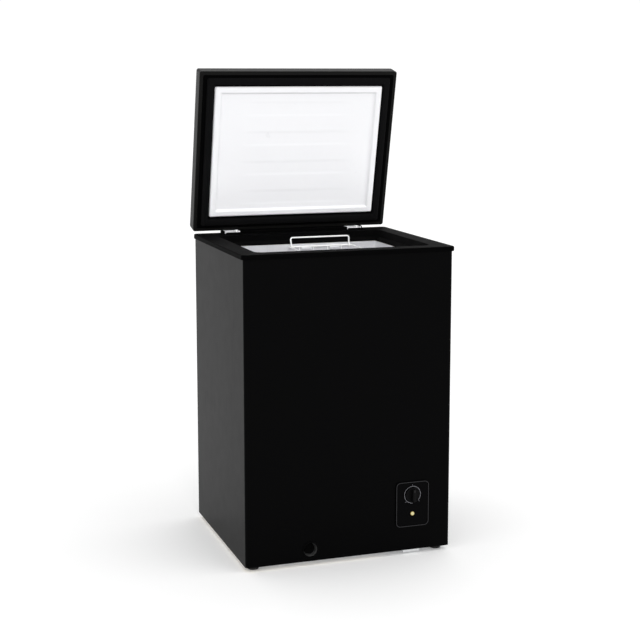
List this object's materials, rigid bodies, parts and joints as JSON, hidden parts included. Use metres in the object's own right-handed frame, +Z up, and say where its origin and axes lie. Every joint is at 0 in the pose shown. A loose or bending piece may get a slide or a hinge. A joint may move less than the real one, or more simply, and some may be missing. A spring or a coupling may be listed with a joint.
{
  "type": "chest freezer",
  "caption": "Small black chest freezer on low feet, top lid standing open, white inner lid panel, metal-lined tub with a hanging wire basket, front dial panel and drain cap.",
  "frame": {"origin": "on the floor, under the middle of the whole object's box at rest, with the lid open", "axes": "+Z up, -Y out of the front with the control panel, +X to the right as seen from the front"},
  "size_m": [0.556, 0.5478, 1.2326],
  "materials": {
    "black_steel": "satin",
    "black_plastic": "satin",
    "zinc": "satin",
    "galvanised": "matte",
    "liner_aluminium": "satin",
    "foam": "matte",
    "white_plastic": "gloss",
    "black_rubber": "matte",
    "white_wire": "gloss",
    "copper": "satin",
    "amber_lens": "gloss"
  },
  "bodies": {
    "cabinet": {"cabinet_wrap": "black_steel", "rear_panel": "black_steel", "base_panel": "galvanised", "foam_body": "foam", "inner_liner": "liner_aluminium", "top_collar": "black_plastic", "breaker_frame": "black_plastic", "hinge_rail_cover": "black_plastic", "hinge_cap_left": "black_plastic", "hinge_cap_right": "black_plastic", "hinge_bracket_left": "zinc", "hinge_bracket_right": "zinc", "hinge_pin_left": "zinc", "hinge_pin_right": "zinc", "hinge_spring_left": "zinc", "hinge_spring_right": "zinc", "control_bezel": "black_plastic", "indicator_lens": "amber_lens", "lamp_holder": "white_plastic", "thermostat_body": "galvanised", "drain_escutcheon": "black_plastic", "drain_tube": "white_plastic", "bay_partition": "galvanised", "compressor_base_plate": "galvanised", "compressor": "black_steel", "compressor_mount_1": "black_rubber", "compressor_mount_2": "black_rubber", "compressor_mount_3": "black_rubber", "compressor_mount_4": "black_rubber", "relay_box": "black_plastic", "filter_drier": "copper", "discharge_tube": "copper", "suction_tube": "copper", "rear_vent_cover": "black_plastic", "cord_gland": "black_rubber", "foot_1": "black_plastic", "foot_2": "black_plastic", "foot_3": "black_plastic", "foot_4": "black_plastic", "basket_clip_1": "white_plastic", "basket_clip_2": "white_plastic", "basket_clip_3": "white_plastic", "basket_clip_4": "white_plastic"},
    "lid": {"lid_shell": "black_steel", "lid_liner": "white_plastic", "lid_foam": "foam", "lid_gasket": "black_rubber", "hinge_arm_left": "zinc", "hinge_arm_right": "zinc"},
    "thermostat_knob": {"control_knob": "black_plastic"},
    "drain_cap": {"drain_cap": "black_plastic"},
    "drain_plug": {"drain_plug": "black_rubber"},
    "basket": {"basket_frame": "white_wire"},
    "basket_handle_rear": {"basket_handle_rear": "white_wire"},
    "basket_handle_front": {"basket_handle_front": "white_wire"}
  },
  "joints": [
    {"name": "lid_hinge", "type": "hinge", "parent": "cabinet", "child": "lid", "pos_m": [0, 0.20607, 0.768], "axis": [-1, 0, 0], "range_deg": [-77, 0], "stiffness_Nm_per_rad": 11},
    {"name": "thermostat_turn", "type": "hinge", "parent": "cabinet", "child": "thermostat_knob", "pos_m": [0.1684, -0.25893, 0.1575], "axis": [0, -1, 0], "range_deg": [-135, 135]},
    {"name": "drain_cap_pull", "type": "slide", "parent": "cabinet", "child": "drain_cap", "axis": [0, -1, 0], "range_m": [0, 0.03]},
    {"name": "drain_plug_lift", "type": "slide", "parent": "cabinet", "child": "drain_plug", "axis": [0, 0, 1], "range_m": [0, 0.05]},
    {"name": "basket_lift", "type": "slide", "parent": "cabinet", "child": "basket", "axis": [0, 0, 1], "range_m": [0, 0.3]},
    {"name": "rear_handle_fold", "type": "hinge", "parent": "basket", "child": "basket_handle_rear", "pos_m": [0.047, 0.11107, 0.758], "axis": [1, 0, 0], "range_deg": [0, 177]},
    {"name": "front_handle_fold", "type": "hinge", "parent": "basket", "child": "basket_handle_front", "pos_m": [0.047, -0.18493, 0.758], "axis": [1, 0, 0], "range_deg": [0, 177]}
  ]
}
